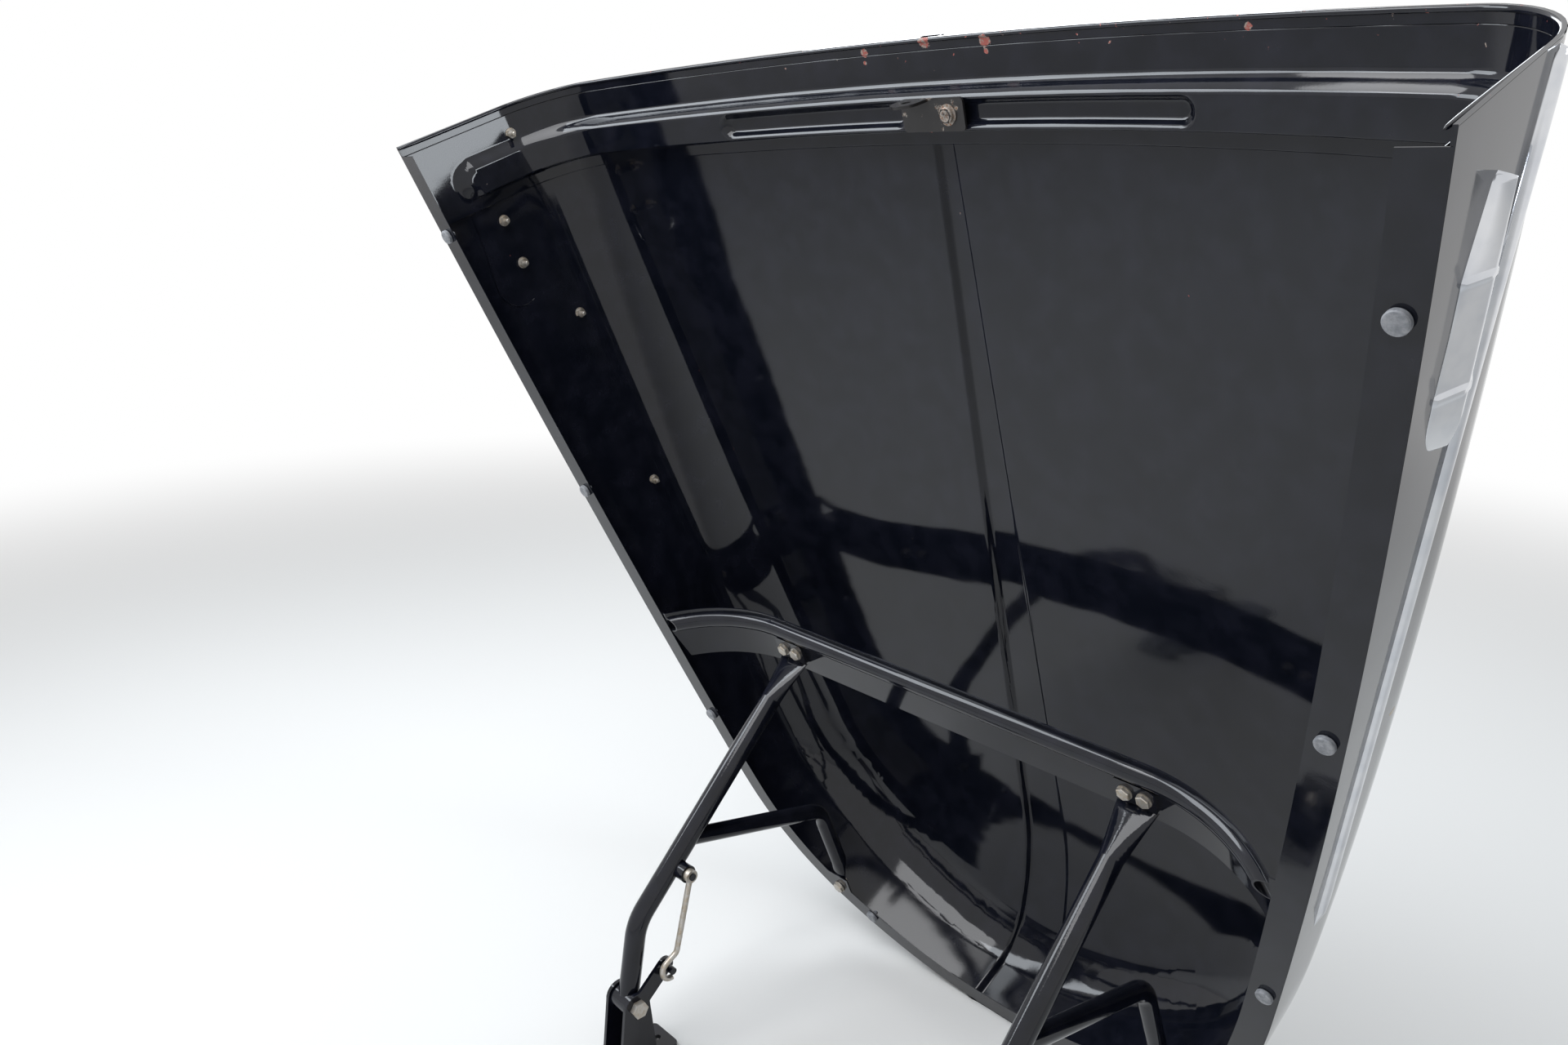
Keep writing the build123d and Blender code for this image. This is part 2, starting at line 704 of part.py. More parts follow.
# Check rod: hangs from the stud on the left arm, its curled end round the bracket's peg
stud = (stud_y, pivot_height + stud_z)
curl_start_angle = 60.0
curl_end_angle = -100.0
curl_start = (
    hook_y + hook_radius * cos(radians(curl_start_angle)),
    peg_z + hook_radius * sin(radians(curl_start_angle)),
)
lead = (
    curl_start[0] - hook_lead * sin(radians(curl_start_angle)),
    curl_start[1] + hook_lead * cos(radians(curl_start_angle)),
)
with BuildPart() as check_rod:
    with BuildLine(Plane.YZ.offset(rod_x)) as rod_path:
        FilletPolyline(stud, lead, curl_start, radius=kink_radius)
        JernArc(
            start=curl_start,
            tangent=(sin(radians(curl_start_angle)), -cos(radians(curl_start_angle))),
            radius=hook_radius,
            arc_size=curl_end_angle - curl_start_angle,
        )
    rod_wire = rod_path.wires()[0]
    with BuildSketch(Plane(origin=rod_wire @ 0, z_dir=rod_wire % 0)):
        Circle(rod_radius)
    sweep(path=rod_wire)
    with BuildSketch(Plane.YZ.offset(rod_x)):
        with Locations(stud):
            Circle(rod_eye_radius)
    extrude(amount=rod_radius, both=True)
    with BuildSketch(Plane.YZ.offset(rod_x)):
        with Locations(stud):
            Circle(stud_radius + pin_clearance)
    extrude(amount=2 * rod_radius, both=True, mode=Mode.SUBTRACT)
placed["check_rod"] = check_rod.part

for name, piece in placed.items():
    piece.label = name
    export_step(piece, f"parts/{name}.step")
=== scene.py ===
import math
import bmesh
import bpy
from mathutils import Matrix, Vector, noise


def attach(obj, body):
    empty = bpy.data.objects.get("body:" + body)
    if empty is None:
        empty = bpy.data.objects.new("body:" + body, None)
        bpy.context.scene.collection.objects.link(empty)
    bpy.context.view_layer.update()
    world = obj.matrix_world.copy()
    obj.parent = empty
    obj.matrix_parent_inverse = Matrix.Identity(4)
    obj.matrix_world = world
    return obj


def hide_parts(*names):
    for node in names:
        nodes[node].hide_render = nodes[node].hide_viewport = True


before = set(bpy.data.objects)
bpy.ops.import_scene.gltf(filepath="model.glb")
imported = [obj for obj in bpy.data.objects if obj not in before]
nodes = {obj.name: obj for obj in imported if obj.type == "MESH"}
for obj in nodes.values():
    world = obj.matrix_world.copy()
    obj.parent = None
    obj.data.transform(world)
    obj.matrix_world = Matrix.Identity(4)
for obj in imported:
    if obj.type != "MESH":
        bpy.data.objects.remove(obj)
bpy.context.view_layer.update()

# Camera and light
# A plain pale floor that fades into a white surround, lit by large soft lamps from above,
# with the camera behind the open bonnet and to its right, looking down along it.
camera = bpy.data.objects.new("camera", bpy.data.cameras.new("camera"))
bpy.context.collection.objects.link(camera)
camera.data.lens = 28.125
camera.data.sensor_width = 36.0
camera.data.clip_start = 0.02
eye = (-0.900, 0.779, 1.164)
view_way, view_up = Vector((0.7126, -0.6429, -0.2809)), Vector((0.2086, -0.1881, 0.9598))
view_turn = Matrix((view_way.cross(view_up), view_up, -view_way)).transposed().to_4x4()
camera.matrix_world = Matrix.Translation(eye) @ view_turn
bpy.context.scene.camera = camera
bpy.context.scene.view_settings.view_transform = "Standard"

for name, place, aim, wide, high, power, tint in (
    ("overhead", (0.3, 0.95, 3.1), (0.1, -0.5, 0.2), 1.7, 2.1, 62.0, (0.97, 0.98, 1.0)),
    ("left_side", (1.65, 1.05, 2.45), (0.0, -0.22, 1.2), 0.9, 1.7, 40.0, (0.88, 0.94, 1.0)),
    ("right_side", (-2.2, -1.3, 2.15), (0.6, 0.0, 1.1), 0.9, 0.8, 22.0, (0.88, 0.94, 1.0)),
    ("front", (1.4, -2.5, 2.45), (-0.1, -0.2, 1.2), 2.2, 0.8, 34.0, (0.90, 0.95, 1.0)),
):
    lamp = bpy.data.objects.new(name, bpy.data.lights.new(name, "AREA"))
    bpy.context.collection.objects.link(lamp)
    lamp.data.shape = "RECTANGLE"
    lamp.data.size, lamp.data.size_y = wide, high
    lamp.data.energy = power
    lamp.data.color = tint
    lamp.location = place
    lamp.rotation_euler = (Vector(aim) - lamp.location).to_track_quat("-Z", "Y").to_euler()


class Amount:
    """A number on its way through a material; maths on it adds Math nodes."""

    def __init__(self, look, socket):
        self.look, self.socket = look, socket

    def maths(self, operation, first, second):
        return self.look.node("ShaderNodeMath", {"operation": operation}, {0: first, 1: second})

    def __add__(self, other):
        return self.maths("ADD", self, other)

    def __sub__(self, other):
        return self.maths("SUBTRACT", self, other)

    def __rsub__(self, other):
        return self.maths("SUBTRACT", other, self)

    def __mul__(self, other):
        return self.maths("MULTIPLY", self, other)

    def __truediv__(self, other):
        return self.maths("DIVIDE", self, other)

    def most(self, other):
        return self.maths("MAXIMUM", self, other)

    def ramp(self, low, high):
        """Smooth change from 0 to 1 as this number goes from low to high."""
        settings = {"interpolation_type": "SMOOTHSTEP"}
        return self.look.node("ShaderNodeMapRange", settings, {0: self, 1: low, 2: high})

    __radd__, __rmul__ = __add__, __mul__


class Look:
    """One procedural material."""

    def __init__(self, name):
        self.material = bpy.data.materials.new(name)
        self.material.use_nodes = True
        self.tree = self.material.node_tree
        self.shader = self.tree.nodes["Principled BSDF"]

    def node(self, kind, settings=None, inputs=None, out=0):
        made = self.tree.nodes.new(kind)
        for key, value in (settings or {}).items():
            setattr(made, key, value)
        self.feed(made, inputs or {})
        return Amount(self, made.outputs[out])

    def feed(self, made, inputs):
        for key, value in inputs.items():
            if isinstance(value, Amount):
                self.tree.links.new(value.socket, made.inputs[key])
            else:
                made.inputs[key].default_value = value

    def set(self, **inputs):
        self.feed(self.shader, {key.replace("_", " "): value for key, value in inputs.items()})

    def place(self):
        """Object coordinates."""
        return self.node("ShaderNodeTexCoord", out="Object")

    def axes(self):
        """The three object coordinates as numbers."""
        parts = self.node("ShaderNodeSeparateXYZ", inputs={0: self.place()})
        return [Amount(self, socket) for socket in parts.socket.node.outputs]

    def noise(self, scale, detail=2.0, roughness=0.5, stretch=None):
        where = self.place()
        if stretch:
            where = self.node("ShaderNodeMapping", inputs={"Vector": where, "Scale": stretch})
        inputs = {"Vector": where, "Scale": scale, "Detail": detail, "Roughness": roughness}
        return self.node("ShaderNodeTexNoise", inputs=inputs, out="Fac")

    def mix(self, factor, first, second):
        """Blend of two colours."""
        settings = {"data_type": "RGBA"}
        return self.node("ShaderNodeMix", settings, {"Factor": factor, 6: first, 7: second}, out=2)

    def bump(self, height, strength, distance, under=None):
        """Relief of a height; distance is in metres, under is a relief that it lies on."""
        inputs = {"Height": height, "Strength": strength, "Distance": distance}
        if under:
            inputs["Normal"] = under
        return self.node("ShaderNodeBump", inputs=inputs)


# Floor: a matt pale sheet, plain diffuse near the part and white further out.
floor_radius, fade_start, fade_end = 14.0, 2.0, 20.0  # the fade goes by square metres
floor_mesh = bmesh.new()
bmesh.ops.create_circle(floor_mesh, cap_ends=True, radius=floor_radius, segments=96)
floor_data = bpy.data.meshes.new("floor")
floor_mesh.to_mesh(floor_data)
floor_mesh.free()
floor = bpy.data.objects.new("floor", floor_data)
bpy.context.collection.objects.link(floor)
floor_look = Look("floor")
floor_x, floor_y, _ = floor_look.axes()
far = (floor_x * floor_x + floor_y * floor_y).ramp(fade_start, fade_end)
floor_look.set(Base_Color=(0.80, 0.80, 0.79, 1.0), Roughness=0.9)
white = floor_look.node("ShaderNodeEmission", inputs={"Color": (1.0, 1.0, 1.0, 1.0), "Strength": 1.0})
matt = Amount(floor_look, floor_look.shader.outputs[0])
faded = floor_look.node("ShaderNodeMixShader", inputs={0: far, 1: matt, 2: white})
floor_look.tree.links.new(faded.socket, floor_look.tree.nodes["Material Output"].inputs["Surface"])
floor.data.materials.append(floor_look.material)

# Surround: white where the camera, a mirror or glass sees it, and a soft fill light otherwise.
fill_level, seen_level = 0.3, 1.0
world = bpy.data.worlds.new("surround")
bpy.context.scene.world = world
world.use_nodes = True
surround = world.node_tree
paths = surround.nodes.new("ShaderNodeLightPath")
seen = paths.outputs["Is Camera Ray"]
for ray in ("Is Glossy Ray", "Is Transmission Ray"):
    either = surround.nodes.new("ShaderNodeMath")
    either.operation = "MAXIMUM"
    surround.links.new(seen, either.inputs[0])
    surround.links.new(paths.outputs[ray], either.inputs[1])
    seen = either.outputs[0]
level = surround.nodes.new("ShaderNodeMapRange")
surround.links.new(seen, level.inputs["Value"])
level.inputs["To Min"].default_value = fill_level
level.inputs["To Max"].default_value = seen_level
back = surround.nodes["Background"]
back.inputs["Color"].default_value = (1.0, 1.0, 1.0, 1.0)
surround.links.new(level.outputs[0], back.inputs["Strength"])


# Bonnet panel
# One deep-pressed steel sheet with a raised spine and a folded rim, sprayed gloss black inside and
# out. The CAD skin stays; a thin smooth lining inside it rounds the spine and has the metal's slow
# waves, and a smooth outer face lies a tenth of a millimetre over it. Lengths are in millimetres.
tilt, pivot_height = math.radians(73.7), 90.0
sheet = 1.2
crown_height, crown_radius, shoulder_radius = 560.0, 2600.0, 105.0
rear_reach, rear_depth, edge_slope, rear_lean = 1086.0, 310.0, 0.111, 0.064
nose_y, nose_lean, flank_radius = -205.0, 0.22, 9300.0
fall_radius, fall_start = 410.0, 36.0  # ahead of fall_start the crown falls to the nose
spine_rear_half, spine_nose_half, spine_depth, spine_side = 12.8, 40.8, 7.0, 8.0
fan_y, fan_share = 60.0, 0.34  # ahead of fan_y this share of the rows fans down round the nose

outline = []  # the lower edge seen from above: middle, radius, first and last heading of each arc
edge_x, edge_y, heading = 0.0, nose_y, 0.0
for radius, swept in ((554.0, 30.0), (315.0, 42.0), (1500.0, 4.0)):
    middle_x, middle_y = edge_x - radius * math.sin(heading), edge_y + radius * math.cos(heading)
    outline.append((middle_x, middle_y, radius, heading, heading + math.radians(swept)))
    heading += math.radians(swept)
    edge_x, edge_y = middle_x + radius * math.sin(heading), middle_y - radius * math.cos(heading)
flank_x = edge_x - flank_radius * math.sin(heading)
flank_y = edge_y + flank_radius * math.cos(heading)
outline.append((flank_x, flank_y, flank_radius, heading, math.pi))


def black_paint(name, wave, peel, chip, places=()):
    """Gloss black enamel; chip is how much primer and bare steel shows, places where it is gone."""
    look = Look(name)
    clean_rough, haze_rough, worn_rough = 0.04, 0.036, 0.4
    _, y, z = look.axes()
    reach = y * math.cos(tilt) + (z - pivot_height / 1000.0) * math.sin(tilt)
    slow = look.bump(look.noise(7.0, 2.0, 0.45, stretch=(1.0, 1.0, 2.4)), wave, 0.004)
    skin = look.bump(look.noise(520.0, 2.0, 0.5), peel, 0.00006, slow)
    haze = look.noise(30.0, 4.0, 0.6)
    # The blue cast of both blacks is a painted reflection of a blue sky; the noise between the two is random
    # tone.
    black = look.mix(haze.ramp(0.35, 0.75), (0.004, 0.005, 0.009, 1.0), (0.009, 0.010, 0.017, 1.0))
    spots = look.noise(120.0, 3.0, 0.62)
    near_rim = reach.ramp(1.04, 1.085)
    worn = (spots + near_rim * 0.09).ramp(0.80 - 0.1 * chip, 0.815 - 0.1 * chip)
    for spot, radius in places:
        inputs = {0: look.place(), 1: spot}
        away = look.node("ShaderNodeVectorMath", {"operation": "DISTANCE"}, inputs, out=1)
        worn = worn.most((spots * 1.6 - away / radius).ramp(-0.12, 0.0))
    primer = look.mix(look.noise(300.0).ramp(0.45, 0.6), (0.30, 0.075, 0.06, 1.0), (0.26, 0.22, 0.19, 1.0))
    look.set(Base_Color=look.mix(worn, black, primer), Normal=skin, IOR=1.5, Specular_IOR_Level=0.38)
    look.set(Roughness=haze * haze_rough + clean_rough + worn * worn_rough)
    return look.material


def paint(material, *names):
    """Gives carried-over CAD pieces a material."""
    for name in names:
        mesh = nodes[name].data
        mesh.materials.clear()
        mesh.materials.append(material)


def row(x, y, z):
    """A point on the level bonnet in millimetres, lifted to where the open bonnet has it."""
    along, up_by = y * math.cos(tilt) - z * math.sin(tilt), y * math.sin(tilt) + z * math.cos(tilt)
    return Vector((x, along, pivot_height + up_by)) / 1000.0


def half_width(y):
    """Half the panel's width on its flank."""
    return flank_x + math.sqrt(flank_radius**2 - (flank_y - y) ** 2)


def edge_height(y):
    """Height of the panel's lower edge, which slopes down to the rear."""
    return crown_height - rear_depth + (rear_reach - y) * edge_slope


def panel_shape(y):
    """Arc lengths of the crown and the shoulder, the shoulder's middle, and the flank's top."""
    across = half_width(y) - shoulder_radius
    inner_radius = crown_radius - shoulder_radius
    turn = math.asin(across / inner_radius)
    flank_top = crown_height - crown_radius + inner_radius * math.cos(turn)
    return crown_radius * turn, shoulder_radius * (math.pi / 2 - turn), across, flank_top


def panel_point(y, arc, depth):
    """Level point at a signed arc length from the centre line and a depth under the outer face."""
    side, arc = (1 if arc >= 0 else -1), abs(arc)
    crown, shoulder, across, flank_top = panel_shape(y)
    if arc < crown:
        turn = arc / crown_radius
        radius = crown_radius - depth
        return side * radius * math.sin(turn), y, crown_height - crown_radius + radius * math.cos(turn)
    if arc < crown + shoulder:
        turn = math.pi / 2 - (crown + shoulder - arc) / shoulder_radius
        radius = shoulder_radius - depth
        return side * (across + radius * math.sin(turn)), y, flank_top + radius * math.cos(turn)
    return side * (across + shoulder_radius - depth), y, flank_top - (arc - crown - shoulder)


def half_arc(y):
    """Arc length from the centre line to the panel's lower edge."""
    crown, shoulder, _, flank_top = panel_shape(y)
    return crown + shoulder + flank_top - edge_height(y)


def smooth(value, low, high):
    """Smooth change from 0 to 1 as a value goes from low to high."""
    part = min(1.0, max(0.0, (value - low) / (high - low)))
    return part * part * (3 - 2 * part)


def piece(name, mesh, material, slot="black_paint", stands_for=()):
    """Turns a bmesh into a smooth object with its material, riding on the bonnet."""
    bmesh.ops.remove_doubles(mesh, verts=mesh.verts, dist=0.000002)
    data = bpy.data.meshes.new(name)
    mesh.to_mesh(data)
    mesh.free()
    data.materials.append(material)
    made = bpy.data.objects.new(name, data)
    bpy.context.collection.objects.link(made)
    for face in data.polygons:
        face.use_smooth = True
    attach(made, "bonnet")
    if stands_for:
        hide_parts(*stands_for)
    return made


def grid_piece(name, columns, rows, place, material, seen_from=None, **more):
    """A grid whose two coordinates, each from 0 to 1, are put in place by a function."""
    mesh = bmesh.new()
    bmesh.ops.create_grid(mesh, x_segments=columns, y_segments=rows, size=0.5)
    for point in mesh.verts:
        point.co = place(point.co.x + 0.5, point.co.y + 0.5)
    bmesh.ops.recalc_face_normals(mesh, faces=mesh.faces)
    if seen_from:
        eye_point = Vector(seen_from)
        facing = sum((face.normal.dot(eye_point - face.calc_center_median()) for face in mesh.faces), 0.0)
        if facing < 0.0:
            bmesh.ops.reverse_faces(mesh, faces=mesh.faces)
    return piece(name, mesh, material, **more)


def wall_gap(x, y):
    """Distance in from the outline seen from above, and the outline's heading beside the point."""
    for middle_x, middle_y, radius, start, end in outline:
        turn = math.atan2(x - middle_x, middle_y - y)
        if start <= turn <= end:
            break
    return radius - math.hypot(x - middle_x, middle_y - y), turn


def hollow(x, y, z, depth):
    """Distance in from the panel's face, drawn in by a depth, with its rounded shoulder."""
    gap, turn = wall_gap(abs(x), y - nose_lean * (z - edge_height(nose_y)))
    lean = nose_lean * math.cos(turn)
    long = math.hypot(1.0, lean)
    wall = (gap - depth) / long
    ahead, above = min(0.0, y - fall_start), z - crown_height + fall_radius
    reach = math.hypot(ahead, above)
    span = math.hypot(x, reach + crown_radius - fall_radius)
    roof = crown_radius - depth - span
    fall = (reach + crown_radius - fall_radius) / span
    meet = abs(x) / span * math.sin(turn)  # cosine of the angle between the wall and the roof
    meet = meet - fall * ahead / reach * math.cos(turn) + fall * above / reach * lean
    meet /= long
    radius = shoulder_radius - depth
    off_roof, off_wall = radius - roof, radius - wall
    if off_roof > max(0.0, off_wall * meet) and off_wall > max(0.0, off_roof * meet):
        square = off_roof**2 + off_wall**2 - 2.0 * off_roof * off_wall * meet
        return radius - math.sqrt(square / (1.0 - meet**2))
    return min(roof, wall)


def ripple(x, y):
    """Unevenness of the hand-worked sheet, in long and short waves."""
    long_wave = noise.noise(Vector((x, y * 0.6, 0.0)) / 110.0)
    short_wave = noise.noise(Vector((x, y, 300.0)) / 45.0)
    return long_wave * 0.45 + short_wave * 0.08


def panel_place(rear_gap, lift, depth, ramp_start, waves):
    """Face of the panel at a depth: straight rows behind, then rows fanned down round the nose."""
    spread, spread_power, slant_power = 0.72, 1.6, 5  # how the columns gather at the shoulders
    most_steps, near_enough = 60, 0.01

    def place(across, along):
        side = across * 2.0 - 1.0
        straight = (along - fan_share) / (1.0 - fan_share)
        y, back, rise = fan_y, 0.0, 1.0
        if straight > 0.0:
            y += (rear_reach - rear_gap - fan_y) * straight
            back = rear_lean * straight
            y -= back * (crown_height - edge_height(y))
        else:
            turn = (1.0 - along / fan_share) * (math.pi / 2 - math.atan(edge_slope))
            back, rise = -math.sin(turn), math.cos(turn)
        slant = math.copysign(math.pi / 2 * abs(side) ** slant_power, side)
        x = math.copysign(spread * half_width(y) * abs(side) ** spread_power, side)
        z = edge_height(y) + lift
        way_x, back, rise = math.sin(slant), back * math.cos(slant), rise * math.cos(slant)
        for _ in range(most_steps):
            spine_half = spine_nose_half
            spine_half += (spine_rear_half - spine_nose_half) * (y - nose_y) / (rear_reach - nose_y)
            groove = 1.0 - smooth(abs(x), spine_half + ramp_start, spine_half + ramp_start + spine_side)
            step = hollow(x, y, z, depth + ripple(x, y) * waves - spine_depth * groove)
            x, y, z = x + way_x * step, y + back * step, z + rise * step
            if abs(step) < near_enough:
                break
        return row(x, y, z)

    return place


rim_half_thick, rim_half_long, rim_back, rim_end, rim_blunt = 2.4, 2.5, 2.6, 1.0, 60


def rim_place(round_way, across):
    """Folded rim of the sheet, a rounded bead all along the rear edge that thins at its ends."""
    side = across * 2.0 - 1.0
    arc = side * (half_arc(rear_reach) - rim_end)
    thin = math.sqrt(max(0.0, 1.0 - abs(side) ** rim_blunt))
    turn = round_way * 2.0 * math.pi
    depth = rim_half_thick + rim_half_thick * thin * math.cos(turn)
    _, _, z = panel_point(rear_reach, arc, 0.0)
    back = rear_reach - rear_lean * (crown_height - z) - rim_back + rim_half_long * thin * math.sin(turn)
    return row(*panel_point(back, arc, depth))


chips = [  # places where the paint is knocked off: across, behind the rim, and how far it reaches
    (row(*panel_point(rear_reach - behind, x, 3.0)), radius / 1000.0)
    for x, behind, radius in (
        (90.0, 10.0, 5.0), (92.0, 20.0, 2.5), (-75.0, 8.0, 7.0), (-75.0, 18.0, 3.0),
        (4.0, 3.0, 8.0), (-365.0, 11.0, 4.0), (14.0, 92.0, 5.0),
    )
]
panel_paint = black_paint("panel_paint", wave=0.08, peel=0.2, chip=0.15, places=chips)
rim_paint = black_paint("rim_paint", wave=0.1, peel=0.2, chip=0.4, places=chips)
paint(panel_paint, "bonnet_skin")
hollow_side, outer_side = (0.0, 3.0, 0.6), (0.0, -3.0, 0.6)  # where the two faces are seen from
panel_columns, panel_rows = 280, 160
lining = panel_place(rear_gap=98.0, lift=1.6, depth=sheet + 0.75, ramp_start=-8.0, waves=1.0)
outer_face = panel_place(rear_gap=1.0, lift=0.1, depth=-0.12, ramp_start=1.3, waves=0.0)
grid_piece("panel_lining", panel_columns, panel_rows, lining, panel_paint, seen_from=hollow_side)
grid_piece("panel_face", panel_columns, panel_rows, outer_face, panel_paint, seen_from=outer_side)
grid_piece("rim_bead", 12, 240, rim_place, rim_paint)


# Rear frame
# A pressed channel spot-welded across the rear: a flat wall, a rounded step up to the land with
# a long recess each side of the latch, and a flange on the panel. Its tips end on the flanks.
frame_start, frame_step, frame_end, frame_toe, frame_drop = 12.5, 51.0, 93.0, 109.0, 248.0
frame_base, land_top, land_side, slot_depth = 2.7, 19.2, 12.2, 8.0
slot_line, slot_reach, slot_gap, slot_half = 73.5, 318.0, 32.0, 13.0
step_round, flange_round, tip_round, slot_round = (-8.5, 8.0), (-1.4, 2.6), (-7.0, 15.0), (-2.5, 6.5)
frame_edge_gap, frame_turn_in, frame_foot = 1.8, 0.01, sheet + 0.1
frame_wave, frame_wave_length = 0.35, 60.0


def frame_depth(behind, x, drop, top_share):
    """Depth of the frame's face; behind is how far it is from the rim, drop how far under the crown."""
    middle, half = (frame_step + frame_end) / 2, (frame_end - frame_step) / 2
    raised = min(smooth(behind - frame_step, *step_round), smooth(frame_end - behind, *flange_round))
    if drop > frame_drop - half:
        inside = half - math.hypot(behind - middle, drop - frame_drop + half)
        raised = min(raised, smooth(inside, *tip_round))
    past = max(0.0, abs(x) - slot_reach + slot_half, slot_gap + slot_half - abs(x))
    in_slot = slot_half - math.hypot(past, behind - slot_line)
    cut = smooth(in_slot, *slot_round) if top_share > 0.5 else 0.0
    land = land_side + (land_top - land_side) * top_share
    return frame_base + (land - frame_base) * raised - slot_depth * cut


def frame_place(along, across):
    """The frame's face from the rim to its toe; its first and last rows turn in to the sheet."""
    side = across * 2.0 - 1.0
    share = min(1.0, max(0.0, (along - frame_turn_in) / (1.0 - 2.0 * frame_turn_in)))
    behind = frame_start + (frame_toe - frame_start) * share
    arc = side * (half_arc(rear_reach - behind - rear_lean * rear_depth) - frame_edge_gap)
    x, y, z = panel_point(rear_reach - behind, arc, 0.0)
    drop = crown_height - z
    crown, shoulder, _, _ = panel_shape(y)
    depth = frame_depth(behind, x, drop, 1.0 - smooth(abs(arc), crown, crown + shoulder))
    depth += noise.noise(Vector((x, y, z)) / frame_wave_length) * frame_wave
    if along in (0.0, 1.0):
        depth = frame_foot
    return row(*panel_point(rear_reach - behind - rear_lean * drop, arc, depth))


frame_paint = black_paint("frame_paint", wave=0.12, peel=0.1, chip=0.3, places=chips)
grid_piece(
    "frame_pressing", 90, 520, frame_place, frame_paint, seen_from=hollow_side, stands_for=("rear_frame",),
)


# Flanges and cross brace
# The folded lower edges and the arched brace with its pressed bead, spot-welded to the panel
# and sprayed with the rear frame in the same gloss black, a little more chipped than the panel.
paint(frame_paint, "edge_flange_left", "edge_flange_right", "nose_flange", "cross_brace")


# Latch striker
# A folded steel plate under the middle of the frame, its black paint worn through in small
# places, held by one domed bolt with a washer.
def stack(mesh, at, way, layers):
    """Adds turned layers (sides or 0 for round, radius, end radius, start, end) along a direction."""
    turn = way.to_track_quat("Z", "Y").to_matrix().to_4x4()
    for sides, low, high, start, end in layers:
        place = Matrix.Translation(at + way * (start + end) / 2000.0) @ turn
        bmesh.ops.create_cone(
            mesh, cap_ends=True, segments=sides or 32, radius1=low / 1000.0, radius2=high / 1000.0,
            depth=(end - start) / 1000.0, matrix=place,
        )


def turned(name, mesh, material, **more):
    """Finishes a stack of layers: sharp edges stay sharp, round ones are smooth."""
    made = piece(name, mesh, material, **more)
    made.data.set_sharp_from_angle(angle=math.radians(35.0))
    return made


def worn_steel(name, rub, rust):
    """Dark steel with remains of black paint, rubbed bright and rusty in places."""
    look = Look(name)
    patches = look.noise(60.0, 4.0, 0.65)
    specks = look.noise(420.0, 3.0, 0.6)
    bare = patches.ramp(0.62 - 0.15 * rub, 0.70 - 0.1 * rub)
    brown = look.mix(specks.ramp(0.4, 0.65), (0.20, 0.16, 0.13, 1.0), (0.23, 0.11, 0.055, 1.0))
    steel = look.mix(specks.ramp(0.5, 0.62), (0.33, 0.30, 0.27, 1.0), brown)
    look.set(Base_Color=look.mix(bare, (0.012, 0.011, 0.012, 1.0), steel))
    look.set(Metallic=bare * 0.6, Roughness=specks * 0.25 + 0.22 + bare * 0.15)
    look.set(Normal=look.bump(specks, 0.25 + 0.3 * rust, 0.0001))
    return look.material


paint(worn_steel("striker_steel", rub=0.1, rust=0.4), "latch_striker")
land_drop, crown_sag, seat_gap, striker_plate = 18.0, 0.52, 0.3, 3.0
striker_z = crown_height - land_drop - sheet - crown_sag - seat_gap - striker_plate
down = (row(0, 0, 0) - row(0, 0, 1)).normalized()
bolt_mesh = bmesh.new()
domed_bolt = (
    (0, 11.0, 11.0, 0.0, 1.4), (0, 8.4, 8.4, 1.4, 4.4), (0, 8.4, 7.4, 4.4, 5.6),
    (0, 7.4, 4.8, 5.6, 6.4), (0, 4.8, 0.8, 6.4, 6.8),
)
stack(bolt_mesh, row(-31.0, rear_reach - slot_line, striker_z), down, domed_bolt)
turned("striker_bolt", bolt_mesh, worn_steel("bolt_rust", rub=2.2, rust=0.9), slot="worn_steel")


# Hinge arms and brackets
# Bent steel tubes with flattened, bolted ends and a branch to the nose, brush-painted gloss
# black, on fixed brackets with bolted feet.
arm_paint = black_paint("arm_paint", wave=0.12, peel=0.7, chip=0.25)
paint(arm_paint, "hinge_arm_left", "hinge_arm_right", "hinge_bracket_left", "hinge_bracket_right")


# Fasteners
# Zinc-plated hexagon bolts with washers and nuts, dulled to a warm grey. They hold the arms
# to the brace and the nose flange; the pivot pins and the check rod are plated the same.
def zinc(name):
    look = Look(name)
    spots = look.noise(160.0, 4.0, 0.6)
    fine = look.noise(900.0, 2.0, 0.5)
    plate = look.mix(spots.ramp(0.35, 0.7), (0.50, 0.48, 0.45, 1.0), (0.42, 0.36, 0.28, 1.0))
    stain = look.mix(spots.ramp(0.66, 0.74), plate, (0.16, 0.10, 0.06, 1.0))
    look.set(Base_Color=stain, Metallic=0.75, Roughness=fine * 0.18 + 0.28 + spots * 0.12)
    look.set(Normal=look.bump(fine, 0.3, 0.00008))
    return look.material


plated = zinc("zinc_plate")
paint(plated, "pivot_pin_left", "pivot_pin_right", "check_rod")


def edge_point(x, y, lift):
    """A place off the plane of the panel's lower edge, and that plane's upward direction."""
    long = math.hypot(1.0, edge_slope)
    here = row(x, y + lift * edge_slope / long, edge_height(y) + lift / long)
    return here, (row(0, edge_slope, 1) - row(0, 0, 0)).normalized()


